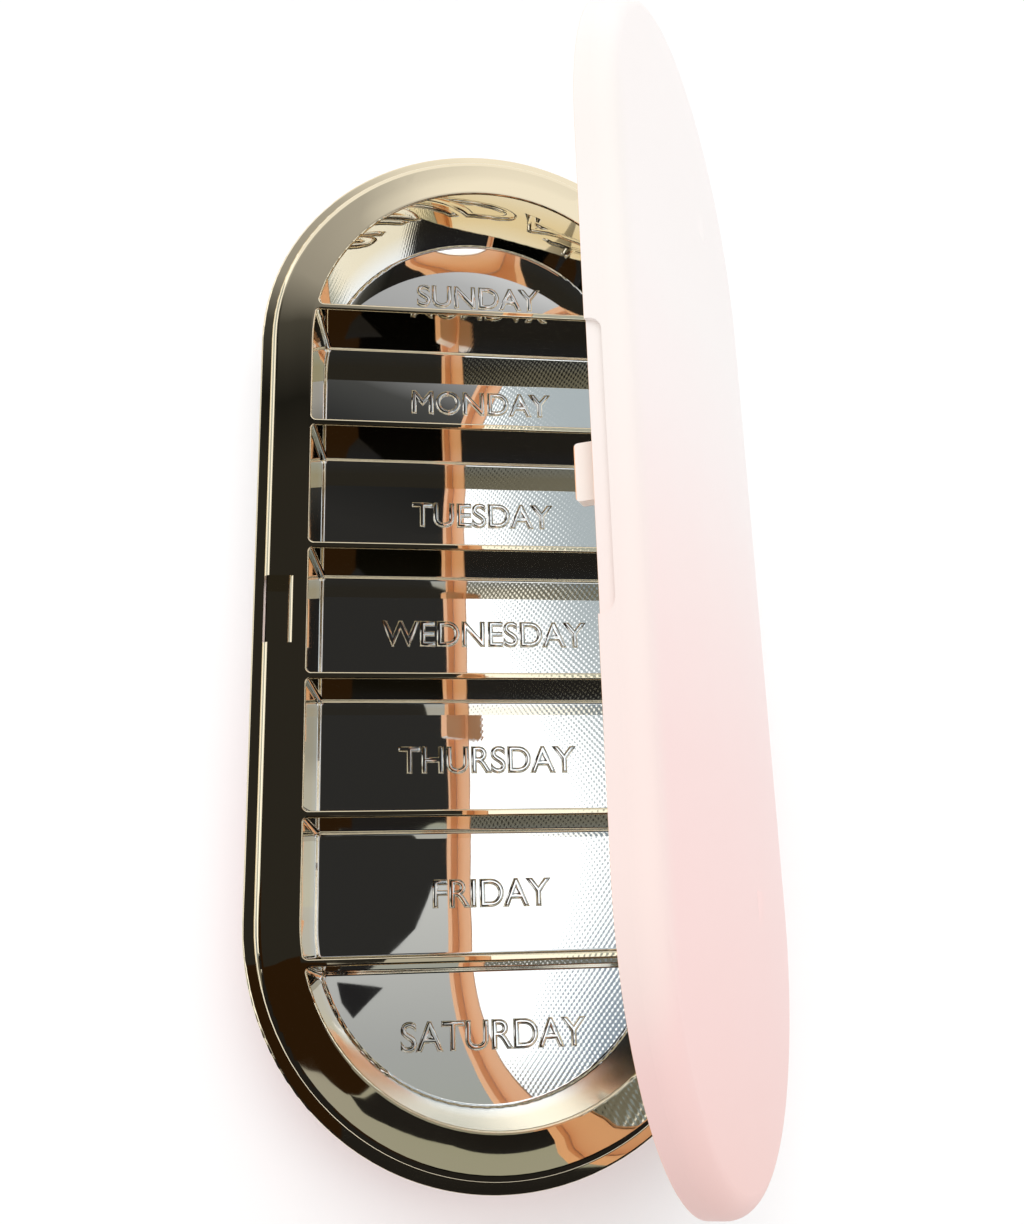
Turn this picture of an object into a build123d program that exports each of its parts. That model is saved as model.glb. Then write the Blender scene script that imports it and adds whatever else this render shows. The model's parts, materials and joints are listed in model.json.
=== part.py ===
"""Weekly pill box: a clamshell case with a plated seven-pocket tray and a domed lid on two pinned hinges.

Millimetres, +Z up. The origin is the centre of the flat underside, +Y runs along the case towards its far end
and the hinge lies along the +X side. The lid is drawn closed and then turned to the angle it stands open at.
"""

import os
from math import hypot, radians, sin, cos

from build123d import *

# Case outline, seen from above: a rectangle with round ends
case_width = 72.0
case_length = 160.5

# Lower shell
base_floor = 2.0
base_wall = 1.8
base_edge_radius = 7.0

# Plated tray
flange_step = 1.55
flange_thickness = 1.4
flange_round = 0.3
rim_width = 6.45
rim_height = 1.4
rim_dish = 0.06
rim_round = 1.0
rim_inner_flat = 0.2
tray_wall = 1.4
lip_depth = 2.0
lip_thickness = 1.2
lip_gap = 0.15

# Pockets
pocket_count = 7
pocket_pitch = 20.0
pocket_depth = 13.7
pocket_draft = 2.3
pocket_corner_radius = 0.7
pocket_floor_radius = 0.42
mouth_round = 0.28
divider_top = 1.0
divider_bottom = 2.1

# Catch: a tab on the lid that drops into a notch in the rim, and the thumb recess beside it
tab_length = 7.0
tab_thickness = 1.9
tab_reach = 2.8
tab_round = 0.5
notch_length = 10.2
notch_width = 3.6
notch_edge_round = 0.9
tab_side_gap = 1.35
tab_tip_gap = 0.4
notch_wall = 1.0
thumb_length = 35.0
thumb_height = 2.0
thumb_depth = 0.7
thumb_corner_radius = 1.7

# Lid
lid_height = 7.7
lid_wall = 1.3
lid_side_height = 2.0
lid_edge_radius = 3.0
lid_seat_gap = 0.1
land_gap = 0.25
frame_gap = 0.1
land_width = 5.8
panel_thickness = 0.9
panel_chamfer = 0.2
panel_gap = 0.1
panel_ledge = 1.6

# Hinge: two groups, each a lid knuckle between two ears of the lower shell, on a steel pin
hinge_offset = 1.4
hinge_spacing = 50.0
knuckle_radius = 2.2
knuckle_length = 12.0
knuckle_reach = 3.2
ear_length = 4.0
ear_reach = 6.5
hinge_end_gap = 0.3
hinge_side_gap = 0.3
pin_radius = 0.9
pin_running_gap = 0.05
pin_seat_gap = 0.02
pin_recess = 0.2
lid_open_angle = 61.0

# Sizes worked out from the ones above
half_width = case_width / 2
straight = case_length - case_width
rim_half = half_width - flange_step
pocket_half = rim_half - rim_width
mouth_z = base_floor + tray_wall + pocket_depth
pocket_floor_z = base_floor + tray_wall
flange_top = mouth_z - rim_height
flange_bottom = flange_top - flange_thickness
mouth_edge = min(mouth_round, 0.45 * divider_top)
floor_edge = min(pocket_floor_radius, 0.6 * pocket_corner_radius)
divider_places = [pocket_pitch * (k - (pocket_count - 2) / 2) for k in range(pocket_count - 1)]
lid_seat = flange_top + lid_seat_gap
land_z = mouth_z + land_gap
panel_half = half_width - land_width
hinge_x = half_width + hinge_offset
hinge_z = flange_top
hinge_line = Axis((hinge_x, 0, hinge_z), (0, 1, 0))
hinge_places = [-hinge_spacing / 2, hinge_spacing / 2]
ear_offset = (knuckle_length + ear_length) / 2 + hinge_end_gap
group_length = knuckle_length + 2 * (ear_length + hinge_end_gap)
relief_radius = knuckle_radius + hinge_side_gap
tab_outer = rim_half - tab_side_gap
tab_tip_z = lid_seat - tab_reach
notch_floor_z = tab_tip_z - tab_tip_gap


def stadium(half, z):
    """Face of the case outline's kind: two half circles of radius half joined by the straight run."""
    return Pos(0, 0, z) * SlotCenterToCenter(straight, 2 * half, rotation=90)


def prism(half, low, high):
    return extrude(stadium(half, low), high - low)


def around(profile):
    """Solid of one cross-section, drawn at X >= 0, carried once round the outline."""
    end = Pos(0, straight / 2, 0) * revolve(profile, Axis.Z, 180)
    side = extrude(profile, straight / 2, both=True)
    turned = Rot(0, 0, 180)
    return end + side + turned * end + turned * side


def section(*lines):
    """Face of a cross-section, from lines that close round it in the XZ plane."""
    return make_face([edge for line in lines for edge in (Plane.XZ * line).edges()])


def corner_arc(centre, radius, start, end):
    """Arc about centre, from one angle to another in degrees."""
    angles = [radians(start), radians((start + end) / 2), radians(end)]
    points = [(centre[0] + radius * cos(a), centre[1] + radius * sin(a)) for a in angles]
    return ThreePointArc(*points)


def block(low, high):
    size = [b - a for a, b in zip(low, high)]
    return Pos(*low) * Box(*size, align=(Align.MIN, Align.MIN, Align.MIN))


def hinge_rod(radius, length, y):
    """Round bar on the hinge line, centred at y."""
    return Pos(hinge_x, y, hinge_z) * Rot(90, 0, 0) * Cylinder(radius, length)


def hinge_link(length, y, wall_x, wall_low, wall_high):
    """Knuckle whose web runs from the hinge line to a stretch of wall."""
    barrel = Pos(hinge_x, hinge_z) * Circle(knuckle_radius)
    root = Line((wall_x, wall_low), (wall_x, wall_high))
    outline = make_hull(barrel.edges() + [root])
    return Pos(0, y + length / 2, 0) * extrude(Plane.XZ * outline, length)


def ears():
    """Places of the lower shell's ears along the hinge line."""
    return [y + side * ear_offset for y in hinge_places for side in (-1, 1)]


def make_base_shell():
    """Open lower shell with a rounded bottom edge and the hinge ears."""
    outer = base_edge_radius
    inner = outer - base_wall
    centre = (half_width - outer, outer)
    inner_centre = (half_width - outer, base_floor + inner)
    inner_x = half_width - base_wall
    shell = around(section(
        Polyline((0, base_floor), (0, 0), (centre[0], 0)),
        corner_arc(centre, outer, -90, 0),
        Polyline(
            (half_width, outer), (half_width, flange_bottom), (inner_x, flange_bottom),
            (inner_x, inner_centre[1]),
        ),
        corner_arc(inner_centre, inner, 0, -90),
        Line((inner_centre[0], base_floor), (0, base_floor)),
    ))
    for y in hinge_places:
        shell -= hinge_rod(relief_radius, knuckle_length + 2 * hinge_end_gap, y)
    wall_x = half_width - base_wall / 3
    for y in ears():
        shell += hinge_link(ear_length, y, wall_x, flange_bottom - ear_reach, flange_bottom)
        shell -= hinge_rod(pin_radius + pin_seat_gap, ear_length, y)
    return shell


def make_pockets():
    """The seven drafted hollows, with round corners and round floor edges."""
    floor = stadium(pocket_half - pocket_draft, pocket_floor_z)
    hollow = loft([floor, stadium(pocket_half, mouth_z)], ruled=True)
    for y in divider_places:
        wall = section(Polyline(
            (-divider_bottom / 2, pocket_floor_z), (divider_bottom / 2, pocket_floor_z),
            (divider_top / 2, mouth_z), (-divider_top / 2, mouth_z), close=True,
        ))
        hollow -= Pos(0, y, 0) * Rot(0, 0, 90) * extrude(wall, half_width, both=True)
    corners = [
        edge for edge in hollow.edges()
        if edge.bounding_box().size.Z > pocket_depth / 2
        and min(abs(edge.center().Y - y) for y in divider_places) < divider_bottom
    ]
    hollow = fillet(corners, pocket_corner_radius)
    return fillet(hollow.edges().group_by(Axis.Z)[0], floor_edge)


def make_tray():
    """Flange, gently dished rim, tub and pockets in one plated moulding, with the catch notch in the rim."""
    lip_outer = half_width - base_wall - lip_gap
    lip_inner = lip_outer - lip_thickness
    lip_low = flange_bottom - lip_depth
    dish_inner = pocket_half + mouth_edge + rim_inner_flat
    dish_middle = ((rim_half + dish_inner) / 2, mouth_z - rim_dish)
    rim = section(
        Polyline(
            (0, mouth_z), (0, flange_bottom), (lip_inner, flange_bottom), (lip_inner, lip_low),
            (lip_outer, lip_low), (lip_outer, flange_bottom), (half_width, flange_bottom),
            (half_width, flange_top), (rim_half, flange_top), (rim_half, mouth_z),
        ),
        ThreePointArc((rim_half, mouth_z), dish_middle, (dish_inner, mouth_z)),
        Line((dish_inner, mouth_z), (0, mouth_z)),
    )
    rim = round_point(rim, rim_half, mouth_z, rim_round)
    rim = round_point(rim, half_width, flange_top, flange_round)
    tray = around(rim)
    tub_half = pocket_half + tray_wall
    tray += loft([stadium(tub_half - pocket_draft, base_floor), stadium(tub_half, flange_bottom)], ruled=True)
    notch_x = rim_half - notch_width
    notch_half = notch_length / 2
    tray += block(
        (-lip_outer, -notch_half - notch_wall, notch_floor_z - notch_wall),
        (-notch_x + notch_wall, notch_half + notch_wall, flange_bottom),
    )
    tray -= make_pockets()
    top = tray.faces().filter_by(Axis.Z).sort_by(Axis.Z)[-1]
    mouths = [edge for wire in top.inner_wires() for edge in wire.edges()]
    tray = fillet(mouths, mouth_edge)
    tray -= block((-rim_half, -notch_half, notch_floor_z), (-notch_x, notch_half, mouth_z + rim_height))
    notch_edges = [edge for edge in tray.edges().filter_by(Axis.Y) if abs(edge.center().X + notch_x) < 0.001]
    tray = fillet(max(notch_edges, key=lambda edge: edge.center().Z), notch_edge_round)
    relief_half = group_length / 2 + hinge_end_gap
    for y in hinge_places:
        tray -= block(
            (hinge_x - relief_radius, y - relief_half, flange_bottom),
            (half_width, y + relief_half, flange_top),
        )
    return tray


def round_point(face, x, z, radius):
    """Round one corner of a cross-section."""
    corner = min(face.vertices(), key=lambda vertex: hypot(vertex.X - x, vertex.Z - z))
    return fillet(corner, radius)


def lid_curve(inset):
    """Half cross-section of the dome, offset inwards by inset: side wall, rounded edge and crown."""
    rise = lid_height - lid_side_height
    reach = half_width - lid_edge_radius
    crown_radius = (reach ** 2 + rise ** 2 - lid_edge_radius ** 2) / (2 * (rise - lid_edge_radius))
    apex = lid_seat + lid_height - inset
    edge_centre = (reach, lid_seat + lid_side_height)
    tilt = Vector(reach, lid_side_height - lid_height + crown_radius).get_angle(Vector(0, 1))
    edge = corner_arc(edge_centre, lid_edge_radius - inset, 0, 90 - tilt)
    crown_centre = (0, apex + inset - crown_radius)
    crown = corner_arc(crown_centre, crown_radius - inset, 90 - tilt, 90)
    wall = Line((half_width - inset, lid_seat), edge @ 0)
    return wall, edge, crown


def make_lid_shell():
    """Domed outer lid with the thumb recess in its free side and the lid's knuckles."""
    wall, edge, crown = lid_curve(0)
    inner_wall, inner_edge, inner_crown = lid_curve(lid_wall)
    shell = around(section(
        wall, edge, crown, Line(crown @ 1, inner_crown @ 1), inner_crown, inner_edge, inner_wall,
        Line(inner_wall @ 0, wall @ 0),
    ))
    thumb_half = thumb_length / 2
    thumb = block(
        (-half_width - thumb_depth, -thumb_half, lid_seat - thumb_height),
        (-half_width + thumb_depth, thumb_half, lid_seat + thumb_height),
    )
    shell -= fillet(thumb.edges().filter_by(Axis.X).group_by(Axis.Z)[-1], thumb_corner_radius)
    for y in ears():
        shell -= hinge_rod(relief_radius, ear_length + 2 * hinge_end_gap, y)
    wall_x = half_width - lid_wall / 2
    for y in hinge_places:
        shell += hinge_link(knuckle_length, y, wall_x, lid_seat, lid_seat + knuckle_reach)
        shell -= hinge_rod(pin_radius + pin_running_gap, knuckle_length, y)
    return shell


def make_lid_frame():
    """Flat border inside the lid that carries the panel and the catch tab."""
    outer = half_width - lid_wall - frame_gap
    edge_radius = lid_edge_radius - lid_wall - frame_gap
    edge_centre = (outer - edge_radius, lid_seat + lid_side_height)
    top = edge_centre[1] + edge_radius
    frame = around(section(
        Polyline((0, top), (0, land_z), (outer, land_z), (outer, edge_centre[1])),
        corner_arc(edge_centre, edge_radius, 0, 90),
        Line((edge_centre[0], top), (0, top)),
    ))
    frame -= prism(panel_half - panel_ledge, land_z, top)
    frame -= prism(panel_half + panel_gap, land_z, land_z + panel_thickness)
    tab = block(
        (-tab_outer, -tab_length / 2, tab_tip_z),
        (-tab_outer + tab_thickness, tab_length / 2, land_z),
    )
    return frame + fillet(tab.edges().filter_by(Axis.X).group_by(Axis.Z)[0], tab_round)


def make_lid_panel():
    """Thin panel set flush into the frame, with its face towards the tray."""
    panel = prism(panel_half, land_z, land_z + panel_thickness)
    return chamfer(panel.faces().sort_by(Axis.Z)[0].edges(), panel_chamfer)


def make_hinge_pin(y):
    return hinge_rod(pin_radius, group_length - 2 * pin_recess, y)


def opened(shape):
    return shape.rotate(hinge_line, lid_open_angle)


hinge_pin_near, hinge_pin_far = [make_hinge_pin(y) for y in hinge_places]

nodes = {
    "base_shell": make_base_shell(),
    "compartment_tray": make_tray(),
    "lid_shell": opened(make_lid_shell()),
    "lid_frame": opened(make_lid_frame()),
    "lid_panel": opened(make_lid_panel()),
    "hinge_pin_near": hinge_pin_near,
    "hinge_pin_far": hinge_pin_far,
}

os.makedirs("parts", exist_ok=True)
for name, shape in nodes.items():
    export_step(shape, f"parts/{name}.step")
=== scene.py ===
"""Looks of the weekly pill box: finishes, raised day names, white sweep, light and camera. Metres, +Z up."""

import json
from math import pi, radians

import bmesh
import bpy
from mathutils import Matrix, Vector


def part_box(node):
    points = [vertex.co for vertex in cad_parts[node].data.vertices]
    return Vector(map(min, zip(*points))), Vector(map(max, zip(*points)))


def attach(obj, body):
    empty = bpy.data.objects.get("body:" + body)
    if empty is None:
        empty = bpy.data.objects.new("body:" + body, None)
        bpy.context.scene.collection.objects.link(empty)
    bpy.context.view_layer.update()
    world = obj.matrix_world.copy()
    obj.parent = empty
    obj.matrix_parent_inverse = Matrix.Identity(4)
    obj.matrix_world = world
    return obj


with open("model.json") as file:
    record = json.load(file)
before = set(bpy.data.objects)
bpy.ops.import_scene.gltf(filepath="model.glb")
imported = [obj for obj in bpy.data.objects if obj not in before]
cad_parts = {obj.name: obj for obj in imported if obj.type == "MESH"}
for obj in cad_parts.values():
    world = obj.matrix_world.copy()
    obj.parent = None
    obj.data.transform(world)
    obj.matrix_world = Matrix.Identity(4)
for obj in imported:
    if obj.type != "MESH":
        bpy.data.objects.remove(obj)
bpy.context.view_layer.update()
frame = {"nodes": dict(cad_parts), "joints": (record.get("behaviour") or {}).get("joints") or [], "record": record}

MM = 0.001
# A wave texture of scale 1 goes through 20 radians in a metre
WAVE_RATE = 20

# Places that the frame gives
hinge = frame["joints"][0]
hinge_place = Vector(hinge["pos_m"])
lid_angle = radians(-hinge["range_deg"][0])
tray_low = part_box("compartment_tray")[0]

# Tray
TRAY_WALL = 1.4 * MM
POCKET_PITCH = 20.0 * MM
POCKET_REACH = 28.4 * MM
STRAIGHT_HALF = 44.25 * MM
pocket_floor = tray_low.z + TRAY_WALL

# Day names, from the near pocket to the far one
DAY_NAMES = ["SATURDAY", "FRIDAY", "THURSDAY", "WEDNESDAY", "TUESDAY", "MONDAY", "SUNDAY"]
LETTER_HEIGHT = 3.85 * MM
LETTER_WIDTH_RATIO = 0.955
LETTER_ROUND = 0.36 * MM
LETTER_ROUND_STEPS = 4
LETTER_SIDE = 0.05 * MM
LETTER_THINNING = 0.19 * MM
LETTER_SINK = 0.05 * MM
LETTER_MERGE = 0.001 * MM
LETTER_CUT_SLACK = 0.0001 * MM
LETTERS_X = 0.2 * MM
LETTERS_Y = -0.4 * MM
FONT_CAP_HEIGHT = 0.686

# Gold plating: heights above the pocket floor, and the stretch of the near end that is duller
GOLD_THIN = 0.5 * MM
GOLD_FULL = 7 * MM
DULL_WALL_FOOT = 0.7 * MM
DULL_WALL_FULL = 1.3 * MM
DULL_FROM_Y = -58 * MM
DULL_TO_Y = -65 * MM
DULL_ROUGHNESS = 0.14
SILVER = "#F8F8F6"
GOLD = "#F1E4C7"

# Lid, at its places when closed
DIMPLE_PITCH = 0.94 * MM
DIMPLE_ROWS = (49.5, 130.5)
DIMPLE_SILVER = "#F8FAFB"
LAND_Z = 17.35 * MM
SEAT_Z = 15.8 * MM
SEAT_SLACK = 0.02 * MM
SEAT_FROM_HINGE = -5 * MM
PAINTED_SHADE_REACH = 35.2 * MM
TAB_INNER_X = -31.25 * MM
TAB_TIP_Z = 13.0 * MM
TAB_EDGE = 0.1 * MM
# Outer face of the catch tab: the lid's lacquer painted paler as painted light
TAB_LACQUER_AND_PAINTED_LIGHT = "#FDF4EC"
# Peach painted as painted shade and painted warm light bounced from the gold tray
PEACH_PAINTED_SHADE = "#FDBF8E"
# Painted light on the lid's free edge, which is painted creamier
EDGE_PAINTED_LIGHT_FROM = -30 * MM
EDGE_PAINTED_LIGHT_TO = -35.5 * MM
EDGE_PAINTED_LIGHT_SHARE = 0.4
EDGE_PAINTED_LIGHT_CREAM = "#F5EEE4"
# Lacquer pink by the place along Y in mm, from the near end to the far one, painted paler towards the far end as
# painted light
LACQUER_WITH_PAINTED_LIGHT = [
    (-90, "#FACEC5"), (-60, "#FAD7D3"), (-30, "#FADEDB"), (-10, "#FBE7E4"), (10, "#FBF0EE"), (30, "#FBF5F3")]
LACQUER_DRIFT = 3 * MM

PIN_STEEL = "#D2D1CF"

# Camera of the photograph
EYE = Vector((-30.22, -57.26, 224.95)) * MM
AIM = Vector((7.27, 17.22, 17.1)) * MM
ROLL = radians(26.46)
LENS = 42.27
SENSOR = 36.0
SHIFT = (-0.0221, -0.0879)

# Studio, with its floor in mm
PAPER = "#FBFBFB"
FLOOR_HALF = 3000
SKY = "#FFFFFF"
SKY_LEVEL = 0.77
KEY_LEVEL = 0.35
KEY_SPREAD = radians(50)
KEY_WAY = Vector((0.0, -0.4, -0.92))

# Card colours by the place along Y in mm, or along a line aslant to it
CARD_COLOURS = {
    "dark": [(0, "#222121")],
    "brown": [(0, "#2A1B0C")],
    "charcoal": [(0, "#2B2A28")],
    "olive": [(0, "#74736B")],
    "bright": [(0, "#FFFFFF")],
    "blue_grey": [(-50, "#8794A0"), (0, "#B2BABD")],
    "pale": [(-110, "#A0A49A"), (-70, "#A6A7A4"), (-5, "#C6C6C2")],
    "near_fade": [
        (-200, "#030302"), (-180, "#050403"), (-156, "#0A0905"), (-136, "#13110C"), (-117, "#222121")],
    "right_fade": [(-20, "#C8C8BE"), (12, "#B9B8B0"), (20, "#A2A198"), (41, "#A2A198"), (44, "#222121")],
    "far_fade": [
        (90, "#2B2A28"), (112, "#1E1E1D"), (126, "#353534"), (140, "#484846"),
        (158, "#9E9E9E"), (190, "#B5B5B5"), (216, "#F3F3F3"), (226, "#FFFFFF")],
}
CARD_GLOW = {"bright": 1.4}
CARD_SLANT = {"far_fade": 0.35}

# Heights and planes of the cards in mm, and the gap between one card and the next behind it
LOW_LEVEL = 165
OVERHEAD_LEVEL = 225
HIGH_LEVEL = 400
CARD_TOP = 440
NEAR_PLANE = -120
LEFT_PLANE = -500
BRIGHT_PLANE = -520
CARD_GAP = 1

# Outlines of the cards that aren't rectangles, in mm: X and Y, and for the last one Y and Z
LOW_OUTLINE = [
    (-60, 20), (20, 20), (20, -20), (8, -23), (5.5, -30), (3, -36), (-1.5, -40.5), (-7, -45), (-60, -45)]
LOW_CHIP_OUTLINE = [(-17, -48.5), (-5.5, -50.5), (-12.5, -57.5), (-15.5, -53.5)]
LEFT_OUTLINE = [
    (-190, -20), (-18.5, -20), (-18.5, -58), (-14, -64.5), (-10.5, -68.5), (-12.5, -71), (-17.5, -66.5),
    (-20.5, -64), (-18, -69), (-16, -72.5), (-14, -77), (-14.5, -90), (-14.5, -150), (-190, -150)]
HIGH_STRIP_OUTLINE = [(-60, -112), (-3.5, -112), (-0.5, -205), (-60, -205)]
HIGH_PATCH_OUTLINE = [(-8, -88), (0.5, -90), (6.5, -97.5), (15.5, -105.5), (26, -111), (33, -114), (-8, -114)]
LEFT_LOW_OUTLINE = [
    (500, 0), (500, 340), (311, 296), (250, 282), (160, 262), (61, 215), (20, 212), (-20, 224), (-50, 240),
    (-110, 258), (-110, 0)]


def srgb(code):
    """Linear colour of an sRGB hex value."""
    parts = [int(code[k:k + 2], 16) / 255 for k in (1, 3, 5)]
    return tuple(c / 12.92 if c <= 0.04045 else ((c + 0.055) / 1.055) ** 2.4 for c in parts) + (1.0,)


def add(tree, kind, settings, links):
    """Adds a node, sets its sockets or properties by name or number, and links sockets to their sources.

    A source is a socket, or a node whose first output is meant.
    """
    node = tree.nodes.new(kind)
    for name, value in settings.items():
        if isinstance(name, int) or name in node.inputs:
            node.inputs[name].default_value = value
        else:
            setattr(node, name, value)
    for name, source in links.items():
        tree.links.new(source.outputs[0] if hasattr(source, "outputs") else source, node.inputs[name])
    return node


def new_material(name):
    """Empty material and its node tree."""
    material = bpy.data.materials.new(name)
    material.use_nodes = True
    material.node_tree.nodes.clear()
    return material, material.node_tree


def fade(tree, along, stops):
    """Colour socket that goes through hex codes at places in mm."""
    earlier = {}
    for (start, first), (end, second) in zip(stops, stops[1:]):
        share = add(tree, "ShaderNodeMapRange", {"From Min": start * MM, "From Max": end * MM},
                    {"Value": along})
        mix = add(tree, "ShaderNodeMix", {"data_type": "RGBA", 6: srgb(first), 7: srgb(second)},
                  {0: share, **earlier})
        earlier = {6: mix.outputs[2]}
    return earlier[6]


def reach_out(tree, across, along):
    """Distance from the case's middle line, which runs between the centres of its round ends."""
    from_middle = add(tree, "ShaderNodeMath", {"operation": "ABSOLUTE"}, {0: along})
    past_end = add(tree, "ShaderNodeMath", {"operation": "SUBTRACT", 1: STRAIGHT_HALF}, {0: from_middle})
    past_end = add(tree, "ShaderNodeMath", {"operation": "MAXIMUM", 1: 0.0}, {0: past_end})
    apart = add(tree, "ShaderNodeCombineXYZ", {}, {"X": across, "Y": past_end})
    return add(tree, "ShaderNodeVectorMath", {"operation": "LENGTH"}, {0: apart}).outputs["Value"]


def closed_lid_place(tree, turn=0.0):
    """Object coordinates with the lid's opening undone about the hinge line, then turned in its own plane."""
    place = add(tree, "ShaderNodeTexCoord", {}, {}).outputs["Object"]
    from_hinge = add(tree, "ShaderNodeMapping", {"Location": -hinge_place}, {"Vector": place})
    closed = add(tree, "ShaderNodeMapping", {"Rotation": (0, -lid_angle, turn)}, {"Vector": from_hinge})
    return closed.outputs["Vector"]


def painted_shade_seat(tree, axes):
    """Share of the lid's moulding painted peach as painted shade: the seat and the wall inside it."""
    from_middle = add(tree, "ShaderNodeMath", {"operation": "ADD", 1: hinge_place.x}, {0: axes["X"]})
    inside = add(tree, "ShaderNodeMath", {"operation": "LESS_THAN", 1: PAINTED_SHADE_REACH},
                 {0: reach_out(tree, from_middle, axes["Y"])})
    below_land = add(tree, "ShaderNodeMath", {"operation": "LESS_THAN", 1: LAND_Z - hinge_place.z},
                     {0: axes["Z"]})
    wall = add(tree, "ShaderNodeMath", {"operation": "MULTIPLY"}, {0: below_land, 1: inside})
    at_seat = add(tree, "ShaderNodeMath", {"operation": "LESS_THAN", 1: SEAT_Z - hinge_place.z + SEAT_SLACK},
                  {0: axes["Z"]})
    off_hinge = add(tree, "ShaderNodeMath", {"operation": "LESS_THAN", 1: SEAT_FROM_HINGE}, {0: axes["X"]})
    seat = add(tree, "ShaderNodeMath", {"operation": "MULTIPLY"}, {0: at_seat, 1: off_hinge})
    return add(tree, "ShaderNodeMath", {"operation": "MAXIMUM"}, {0: seat, 1: wall})


def soft_touch_coat(name, on_lid):
    """Soft-touch lacquer sprayed on moulded ABS: velvety blush pink, with painted light paling it to white towards
    the far end.

    On the lid it is creamier round the free edge as painted light, and the seat is painted peach as painted shade.
    """
    material, tree = new_material(name)
    place = add(tree, "ShaderNodeTexCoord", {}, {}).outputs["Object"]
    along = add(tree, "ShaderNodeSeparateXYZ", {}, {"Vector": place}).outputs["Y"]
    # Spray mottle about 9 mm across, barely seen, carries the painted light fade a little to and fro
    mottle = add(tree, "ShaderNodeTexNoise", {"Scale": 1 / (9 * MM), "Detail": 2.0}, {"Vector": place})
    drift = add(tree, "ShaderNodeMapRange", {"To Min": -LACQUER_DRIFT, "To Max": LACQUER_DRIFT},
                {"Value": mottle.outputs["Fac"]})
    drifted = add(tree, "ShaderNodeMath", {"operation": "ADD"}, {0: along, 1: drift})
    # Painted light: the pink pales towards the far end
    colour = fade(tree, drifted, LACQUER_WITH_PAINTED_LIGHT)
    if on_lid:
        axes = add(tree, "ShaderNodeSeparateXYZ", {}, {"Vector": closed_lid_place(tree)}).outputs
        # Painted light: the coat is mixed towards cream round the free edge
        edge = add(tree, "ShaderNodeMapRange",
                   {"interpolation_type": "SMOOTHSTEP",
                    "From Min": EDGE_PAINTED_LIGHT_FROM - hinge_place.x, "From Max": EDGE_PAINTED_LIGHT_TO - hinge_place.x},
                   {"Value": axes["X"]})
        painted_edge_light = add(tree, "ShaderNodeMath", {"operation": "MULTIPLY", 1: EDGE_PAINTED_LIGHT_SHARE}, {0: edge})
        edge_lit_colour = add(tree, "ShaderNodeMix", {"data_type": "RGBA", 7: srgb(EDGE_PAINTED_LIGHT_CREAM)},
                     {0: painted_edge_light, 6: colour})
        # Painted shade: the seat and the wall inside it are painted peach
        shaded_seat = add(tree, "ShaderNodeMix", {"data_type": "RGBA", 7: srgb(PEACH_PAINTED_SHADE)},
                     {0: painted_shade_seat(tree, axes), 6: edge_lit_colour.outputs[2]})
        colour = shaded_seat.outputs[2]
    # Lacquer grain is near 0.05 mm, drawn at 0.25 mm so that it shows
    grain = add(tree, "ShaderNodeTexNoise", {"Scale": 1 / (0.25 * MM), "Detail": 3.0}, {"Vector": place})
    rough = add(tree, "ShaderNodeMapRange", {"To Min": 0.5, "To Max": 0.6}, {"Value": grain.outputs["Fac"]})
    bump = add(tree, "ShaderNodeBump", {"Strength": 0.05, "Distance": 0.03 * MM},
               {"Height": grain.outputs["Fac"]})
    shader = add(tree, "ShaderNodeBsdfPrincipled",
                 {"IOR": 1.5, "Sheen Weight": 0.1, "Sheen Roughness": 0.4},
                 {"Base Color": colour, "Roughness": rough, "Normal": bump})
    add(tree, "ShaderNodeOutputMaterial", {}, {"Surface": shader})
    return material


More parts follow.
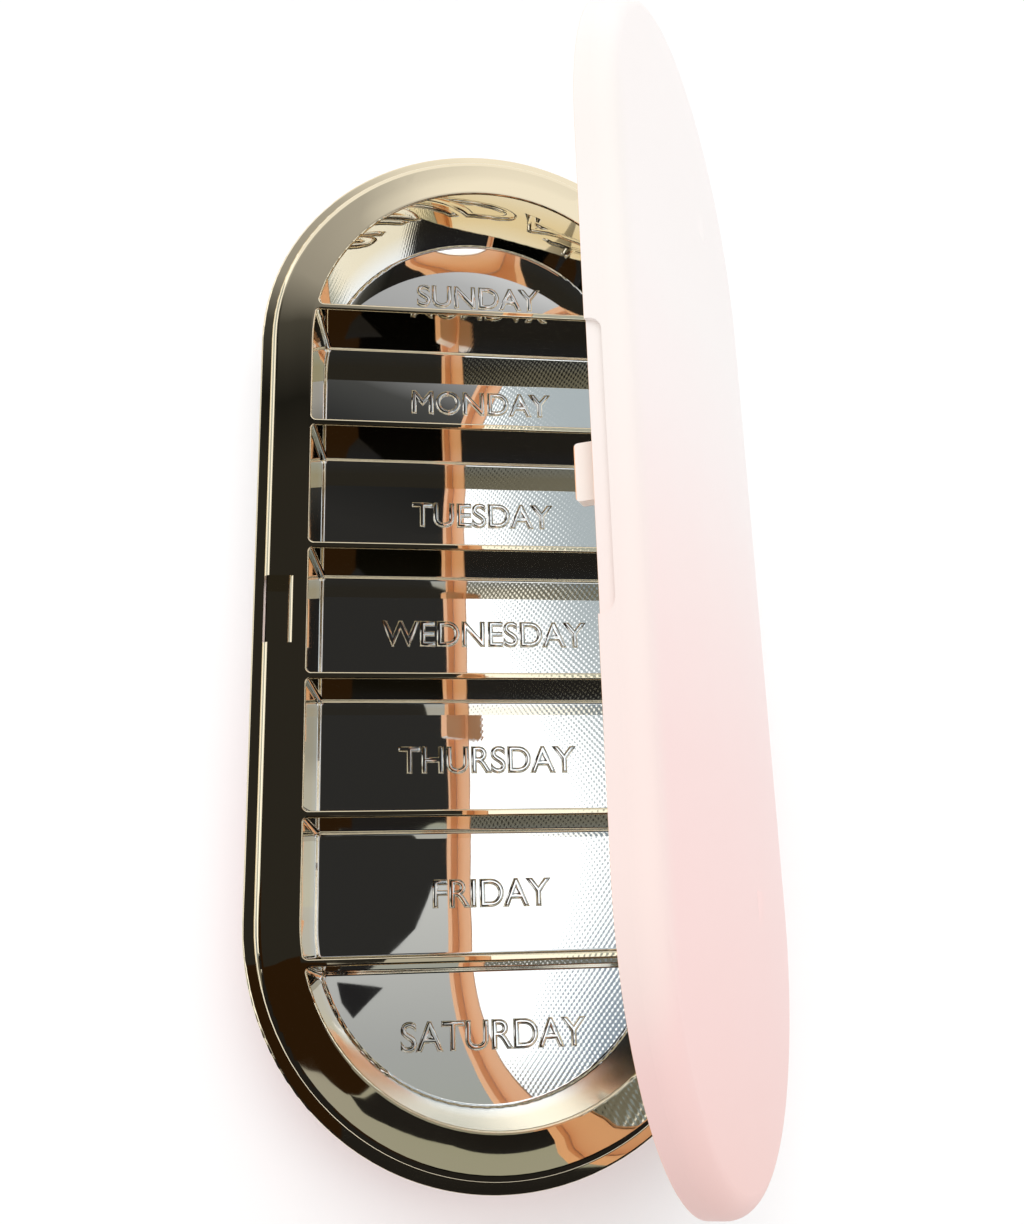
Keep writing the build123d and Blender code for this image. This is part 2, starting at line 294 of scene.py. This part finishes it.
def gold_plating():
    """Vacuum-plated ABS under a pale gold lacquer: a mirror, golden on the rim and paler in the pockets."""
    material, tree = new_material("pale_gold_plating_on_abs")
    place = add(tree, "ShaderNodeTexCoord", {}, {}).outputs["Object"]
    axes = add(tree, "ShaderNodeSeparateXYZ", {}, {"Vector": place}).outputs
    # The lacquer thins out towards the pocket floors
    lacquer = add(tree, "ShaderNodeMapRange",
                  {"From Min": pocket_floor + GOLD_THIN, "From Max": pocket_floor + GOLD_FULL},
                  {"Value": axes["Z"]})
    colour = add(tree, "ShaderNodeMix", {"data_type": "RGBA", 6: srgb(SILVER), 7: srgb(GOLD)}, {0: lacquer})
    # Moulding waviness under the plating, about 14 mm from crest to crest
    wave = add(tree, "ShaderNodeTexNoise", {"Scale": 1 / (14 * MM), "Detail": 1.0}, {"Vector": place})
    bump = add(tree, "ShaderNodeBump", {"Strength": 0.1, "Distance": 0.3 * MM},
               {"Height": wave.outputs["Fac"]})
    # Faint haze in patches of about 4 mm
    haze = add(tree, "ShaderNodeTexNoise", {"Scale": 1 / (4 * MM), "Detail": 3.0}, {"Vector": place})
    rough = add(tree, "ShaderNodeMapRange", {"To Min": 0.005, "To Max": 0.035},
                {"Value": haze.outputs["Fac"]})
    # The plating is duller on the wall round the near end
    inside = add(tree, "ShaderNodeMath", {"operation": "LESS_THAN", 1: POCKET_REACH},
                 {0: reach_out(tree, axes["X"], axes["Y"])})
    up_wall = add(tree, "ShaderNodeMapRange",
                  {"From Min": pocket_floor + DULL_WALL_FOOT, "From Max": pocket_floor + DULL_WALL_FULL},
                  {"Value": axes["Z"]})
    near_end = add(tree, "ShaderNodeMapRange", {"From Min": DULL_FROM_Y, "From Max": DULL_TO_Y},
                   {"Value": axes["Y"]})
    dull = add(tree, "ShaderNodeMath", {"operation": "MULTIPLY"}, {0: inside, 1: up_wall})
    dull = add(tree, "ShaderNodeMath", {"operation": "MULTIPLY"}, {0: dull, 1: near_end})
    rough = add(tree, "ShaderNodeMath", {"operation": "MULTIPLY_ADD", 1: DULL_ROUGHNESS}, {0: dull, 2: rough})
    shader = add(tree, "ShaderNodeBsdfPrincipled", {"Metallic": 1.0},
                 {"Base Color": colour.outputs[2], "Roughness": rough, "Normal": bump})
    add(tree, "ShaderNodeOutputMaterial", {}, {"Surface": shader})
    return material


def satin_frame():
    """Satin ABS inside the lid, painted peach as painted shade and painted warm light bounced from the gold tray;
    the outer lacquer wraps over the catch tab, painted paler there as painted light.
    """
    material, tree = new_material("satin_abs_with_painted_shade")
    place = closed_lid_place(tree)
    axes = add(tree, "ShaderNodeSeparateXYZ", {}, {"Vector": place}).outputs
    # Painted light: the lit outer face of the catch tab is painted near white
    below_land = add(tree, "ShaderNodeMath",
                     {"operation": "LESS_THAN", 1: LAND_Z - hinge_place.z - TAB_EDGE}, {0: axes["Z"]})
    above_tip = add(tree, "ShaderNodeMath",
                    {"operation": "GREATER_THAN", 1: TAB_TIP_Z - hinge_place.z + TAB_EDGE}, {0: axes["Z"]})
    outside = add(tree, "ShaderNodeMath", {"operation": "LESS_THAN", 1: TAB_INNER_X - hinge_place.x},
                  {0: axes["X"]})
    tab_face = add(tree, "ShaderNodeMath", {"operation": "MULTIPLY"}, {0: below_land, 1: above_tip})
    tab_face = add(tree, "ShaderNodeMath", {"operation": "MULTIPLY"}, {0: outside, 1: tab_face})
    # Painted shade: the frame is painted peach, for the shade inside the lid and the warm light bounced from the
    # gold tray
    colour = add(tree, "ShaderNodeMix", {"data_type": "RGBA", 6: srgb(PEACH_PAINTED_SHADE), 7: srgb(TAB_LACQUER_AND_PAINTED_LIGHT)},
                 {0: tab_face})
    # Spark-eroded satin texture near 0.1 mm, drawn at 0.3 mm so that it shows
    grain = add(tree, "ShaderNodeTexNoise", {"Scale": 1 / (0.3 * MM), "Detail": 2.0}, {"Vector": place})
    rough = add(tree, "ShaderNodeMapRange", {"To Min": 0.34, "To Max": 0.46}, {"Value": grain.outputs["Fac"]})
    bump = add(tree, "ShaderNodeBump", {"Strength": 0.08, "Distance": 0.03 * MM},
               {"Height": grain.outputs["Fac"]})
    shader = add(tree, "ShaderNodeBsdfPrincipled", {"IOR": 1.53},
                 {"Base Color": colour.outputs[2], "Roughness": rough, "Normal": bump})
    add(tree, "ShaderNodeOutputMaterial", {}, {"Surface": shader})
    return material


def dimpled_silver():
    """Silver-plated ABS pressed with a close diamond grid of dimples, each a small sparkling mirror."""
    material, tree = new_material("dimpled_silver_plating_on_abs")
    waves = {"bands_direction": "X", "Scale": 2 * pi / (WAVE_RATE * DIMPLE_PITCH)}
    rows = [add(tree, "ShaderNodeTexWave", waves, {"Vector": closed_lid_place(tree, radians(turn))})
            for turn in DIMPLE_ROWS]
    field = add(tree, "ShaderNodeMath", {"operation": "ADD"},
                {index: row.outputs["Fac"] for index, row in enumerate(rows)})
    bump = add(tree, "ShaderNodeBump", {"Strength": 1.0, "Distance": 0.007 * MM}, {"Height": field})
    shader = add(tree, "ShaderNodeBsdfPrincipled",
                 {"Metallic": 1.0, "Base Color": srgb(DIMPLE_SILVER), "Roughness": 0.08}, {"Normal": bump})
    add(tree, "ShaderNodeOutputMaterial", {}, {"Surface": shader})
    return material


def drawn_steel():
    """Bright drawn steel wire: fine scratches along its length."""
    material, tree = new_material("bright_drawn_steel")
    place = add(tree, "ShaderNodeTexCoord", {}, {}).outputs["Object"]
    # Draw lines 0.08 mm wide and about 4 mm long
    lines = add(tree, "ShaderNodeMapping",
                {"Scale": (1 / (0.08 * MM), 1 / (4 * MM), 1 / (0.08 * MM))}, {"Vector": place})
    marks = add(tree, "ShaderNodeTexNoise", {"Scale": 1.0, "Detail": 2.0}, {"Vector": lines})
    rough = add(tree, "ShaderNodeMapRange", {"To Min": 0.18, "To Max": 0.36}, {"Value": marks.outputs["Fac"]})
    shader = add(tree, "ShaderNodeBsdfPrincipled", {"Metallic": 1.0, "Base Color": srgb(PIN_STEEL)},
                 {"Roughness": rough})
    add(tree, "ShaderNodeOutputMaterial", {}, {"Surface": shader})
    return material


def white_sweep():
    """Matt white studio paper."""
    material, tree = new_material("white_studio_paper")
    shader = add(tree, "ShaderNodeBsdfPrincipled", {"Base Color": srgb(PAPER), "Roughness": 0.9}, {})
    add(tree, "ShaderNodeOutputMaterial", {}, {"Surface": shader})
    return material


def card_paint(colour):
    """Even glow of a reflector card, which may go through several colours along Y or a line aslant to it."""
    material, tree = new_material(f"{colour}_card")
    stops = CARD_COLOURS[colour]
    links = {}
    if len(stops) > 1:
        place = add(tree, "ShaderNodeTexCoord", {}, {}).outputs["Object"]
        axes = add(tree, "ShaderNodeSeparateXYZ", {}, {"Vector": place}).outputs
        along = add(tree, "ShaderNodeMath", {"operation": "MULTIPLY_ADD", 1: CARD_SLANT.get(colour, 0.0)},
                    {0: axes["X"], 2: axes["Y"]})
        links = {"Color": fade(tree, along, stops)}
    glow = add(tree, "ShaderNodeEmission",
               {"Strength": CARD_GLOW.get(colour, 1.0), "Color": srgb(stops[0][1])}, links)
    add(tree, "ShaderNodeOutputMaterial", {}, {"Surface": glow})
    return material


def day_name(word, y, material):
    """Raised half-round word standing on a pocket floor."""
    curve = bpy.data.curves.new(f"day_name_{word.lower()}", "FONT")
    curve.body = word
    curve.align_x = "CENTER"
    curve.align_y = "CENTER"
    curve.size = LETTER_HEIGHT / FONT_CAP_HEIGHT
    curve.extrude = LETTER_SIDE
    curve.bevel_depth = LETTER_ROUND
    curve.bevel_resolution = LETTER_ROUND_STEPS
    curve.offset = -LETTER_THINNING
    pattern = bpy.data.objects.new("letter_pattern", curve)
    bpy.context.scene.collection.objects.link(pattern)
    bpy.context.view_layer.update()
    mesh = bpy.data.meshes.new_from_object(pattern.evaluated_get(bpy.context.evaluated_depsgraph_get()))
    bpy.data.objects.remove(pattern)
    # The lower half of the rounded word is cut off and its underside closed
    form = bmesh.new()
    form.from_mesh(mesh)
    bmesh.ops.remove_doubles(form, verts=form.verts, dist=LETTER_MERGE)
    cut = bmesh.ops.bisect_plane(
        form, geom=form.verts[:] + form.edges[:] + form.faces[:], dist=LETTER_CUT_SLACK,
        plane_co=(0, 0, -LETTER_SINK), plane_no=(0, 0, 1), clear_inner=True)
    rim = [edge for edge in cut["geom_cut"] if isinstance(edge, bmesh.types.BMEdge)]
    bmesh.ops.triangle_fill(form, edges=rim, use_beauty=True, normal=(0, 0, -1))
    form.to_mesh(mesh)
    form.free()
    mesh.transform(Matrix.Diagonal((LETTER_WIDTH_RATIO, 1, 1, 1)))
    mesh.transform(Matrix.Translation((LETTERS_X, y, pocket_floor)))
    mesh.materials.clear()
    mesh.materials.append(material)
    piece = bpy.data.objects.new(f"day_name_{word.lower()}", mesh)
    bpy.context.scene.collection.objects.link(piece)
    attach(piece, "base")


def stage_plane(name, corners, material):
    """Flat sheet of the studio, which isn't part of the object, through its corners in millimetres."""
    mesh = bpy.data.meshes.new(name)
    form = bmesh.new()
    form.faces.new([form.verts.new(Vector(corner) * MM) for corner in corners])
    form.to_mesh(mesh)
    form.free()
    mesh.materials.append(material)
    plane = bpy.data.objects.new(name, mesh)
    bpy.context.scene.collection.objects.link(plane)
    return plane


def level(outline, z):
    """Corners of a level sheet whose outline is in X and Y."""
    return [(x, y, z) for x, y in outline]


def upright(outline, x):
    """Corners of an upright sheet along the case, whose outline is in Y and Z."""
    return [(x, y, z) for y, z in outline]


def crosswise(outline, y):
    """Corners of an upright sheet across the case, whose outline is in X and Z."""
    return [(x, y, z) for x, z in outline]


def rectangle(low, high):
    """Outline of a rectangle between two opposite corners."""
    return [low, (high[0], low[1]), high, (low[0], high[1])]


def studio():
    """White paper floor, and the plain cards above and beside the case that the plating mirrors."""
    floor = rectangle((-FLOOR_HALF, -FLOOR_HALF), (FLOOR_HALF, FLOOR_HALF))
    stage_plane("paper_floor", level(floor, 0), white_sweep())
    paints = {colour: card_paint(colour) for colour in CARD_COLOURS}
    cards = [
        ("overhead_card", "charcoal", level(rectangle((-170, -20), (30, 90)), OVERHEAD_LEVEL)),
        ("right_overhead_card", "right_fade", level(rectangle((30, -25), (70, 90)), OVERHEAD_LEVEL)),
        ("far_overhead_card", "far_fade", level(rectangle((-170, 90), (60, 230)), OVERHEAD_LEVEL)),
        ("low_card", "charcoal", level(LOW_OUTLINE, LOW_LEVEL)),
        ("low_chip_card", "dark", level(LOW_CHIP_OUTLINE, LOW_LEVEL)),
        ("left_overhead_card", "brown", level(LEFT_OUTLINE, OVERHEAD_LEVEL - CARD_GAP)),
        ("high_strip_card", "brown", level(HIGH_STRIP_OUTLINE, HIGH_LEVEL - CARD_GAP)),
        ("high_patch_card", "dark", level(HIGH_PATCH_OUTLINE, HIGH_LEVEL)),
        ("high_card", "pale", level(rectangle((-400, -300), (400, 0)), HIGH_LEVEL + CARD_GAP)),
        ("near_high_card", "near_fade", level(rectangle((-400, -700), (400, -114)), HIGH_LEVEL)),
        ("near_corner_card", "dark", upright(rectangle((-800, 0), (-168, CARD_TOP)), LEFT_PLANE + CARD_GAP)),
        ("left_olive_card", "olive", upright(rectangle((-168, 0), (-102, CARD_TOP)), LEFT_PLANE + CARD_GAP)),
        ("near_left_card", "dark", crosswise(rectangle((-290, 0), (-150, HIGH_LEVEL)), NEAR_PLANE)),
        ("near_card", "dark", crosswise(rectangle((-150, 0), (300, 150)), NEAR_PLANE)),
        ("left_bright_card", "bright", upright(rectangle((-110, 0), (700, CARD_TOP)), BRIGHT_PLANE)),
        ("left_low_card", "blue_grey", upright(LEFT_LOW_OUTLINE, LEFT_PLANE)),
    ]
    for name, colour, corners in cards:
        card = stage_plane(name, corners, paints[colour])
        # Only the plating sees a card, in its reflections
        card.visible_camera = False
        card.visible_diffuse = False
        card.visible_shadow = False
        card.visible_transmission = False


def surroundings():
    """World that is white to the camera and in reflections, and a soft even light to the rest."""
    world = bpy.data.worlds.new("white_surroundings")
    bpy.context.scene.world = world
    world.use_nodes = True
    tree = world.node_tree
    tree.nodes.clear()
    ray = add(tree, "ShaderNodeLightPath", {}, {}).outputs
    seen = add(tree, "ShaderNodeMath", {"operation": "MAXIMUM"},
               {0: ray["Is Camera Ray"], 1: ray["Is Glossy Ray"]})
    seen = add(tree, "ShaderNodeMath", {"operation": "MAXIMUM"}, {0: seen, 1: ray["Is Transmission Ray"]})
    strength = add(tree, "ShaderNodeMapRange", {"To Min": SKY_LEVEL, "To Max": 1.0}, {"Value": seen})
    back = add(tree, "ShaderNodeBackground", {"Color": srgb(SKY)}, {"Strength": strength})
    add(tree, "ShaderNodeOutputWorld", {}, {"Surface": back})


def key_light():
    """Broad soft key from overhead, a little towards the far end."""
    data = bpy.data.lights.new("key", "SUN")
    data.energy = KEY_LEVEL * pi
    data.angle = KEY_SPREAD
    lamp = bpy.data.objects.new("key", data)
    lamp.rotation_euler = KEY_WAY.to_track_quat("-Z", "Y").to_euler()
    lamp.visible_glossy = False
    bpy.context.scene.collection.objects.link(lamp)


def photo_camera():
    """Camera at the photograph's place."""
    data = bpy.data.cameras.new("photo_camera")
    data.sensor_width = SENSOR
    data.lens = LENS
    data.shift_x, data.shift_y = SHIFT
    data.clip_start = MM
    camera = bpy.data.objects.new("photo_camera", data)
    camera.location = EYE
    turn = (AIM - EYE).to_track_quat("-Z", "Y").to_matrix() @ Matrix.Rotation(ROLL, 3, "Z")
    camera.rotation_euler = turn.to_euler()
    bpy.context.scene.collection.objects.link(camera)
    bpy.context.scene.camera = camera


finishes = {
    "soft_touch_shell": soft_touch_coat("soft_touch_lacquer_on_abs", False),
    "gold_plating": gold_plating(),
    "inner_frame": satin_frame(),
    "silver_plating": dimpled_silver(),
    "pin_steel": drawn_steel(),
}
for part in frame["record"]["subparts"]:
    for slot in frame["nodes"][part["node"]].material_slots:
        slot.material = finishes[part["material_slot"]]
lid_coat = soft_touch_coat("soft_touch_lacquer_with_painted_shade_seat", True)
for slot in frame["nodes"]["lid_shell"].material_slots:
    slot.material = lid_coat

for index, word in enumerate(DAY_NAMES):
    steps_from_middle = index - (len(DAY_NAMES) - 1) / 2
    day_name(word, steps_from_middle * POCKET_PITCH + LETTERS_Y, finishes["gold_plating"])

studio()
surroundings()
key_light()
photo_camera()
bpy.context.scene.view_settings.view_transform = "Standard"

bpy.context.view_layer.update()
